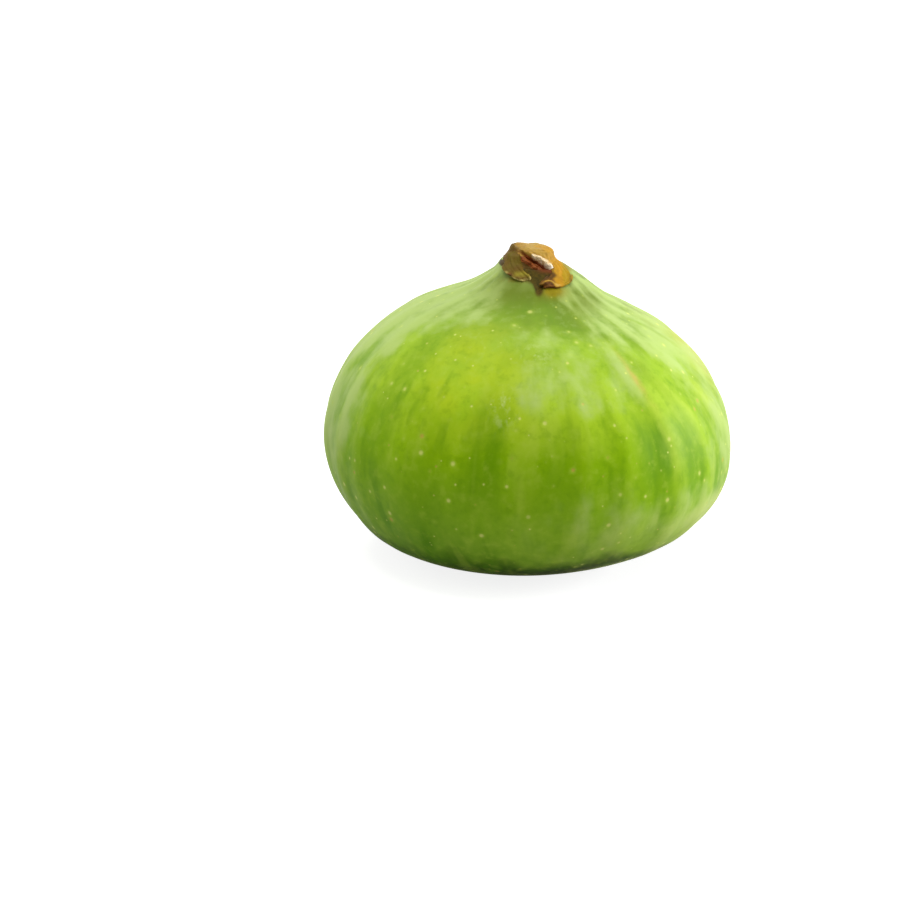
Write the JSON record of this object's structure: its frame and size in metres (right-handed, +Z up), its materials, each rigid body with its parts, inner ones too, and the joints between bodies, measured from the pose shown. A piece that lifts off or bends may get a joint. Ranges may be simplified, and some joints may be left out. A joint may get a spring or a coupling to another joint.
{
  "type": "green fig",
  "caption": "Whole ripe green fig, squat and ribbed, resting on its base, with a torn stalk end and dried bracts round the neck.",
  "frame": {"origin": "on the surface the fig rests on, under the middle of its bounding box", "axes": "+Z up through the neck; the front of the fig faces -Y, and its body leans a little towards +X"},
  "size_m": [0.0544, 0.0548, 0.0422],
  "materials": {
    "fig_skin": "satin, waxy green fruit skin with a pale bloom, long soft stripes and small cream dots",
    "dried_stalk": "dry, ochre to brown, with a dark red-brown fibrous tear",
    "dried_bract": "dry, papery, olive to dark brown with a pale free edge"
  },
  "bodies": {
    "root": {"fig_fruit": "fig_skin", "stalk_stub": "dried_stalk", "bract_left": "dried_bract", "bract_right": "dried_bract", "bract_back": "dried_bract"}
  },
  "joints": []
}
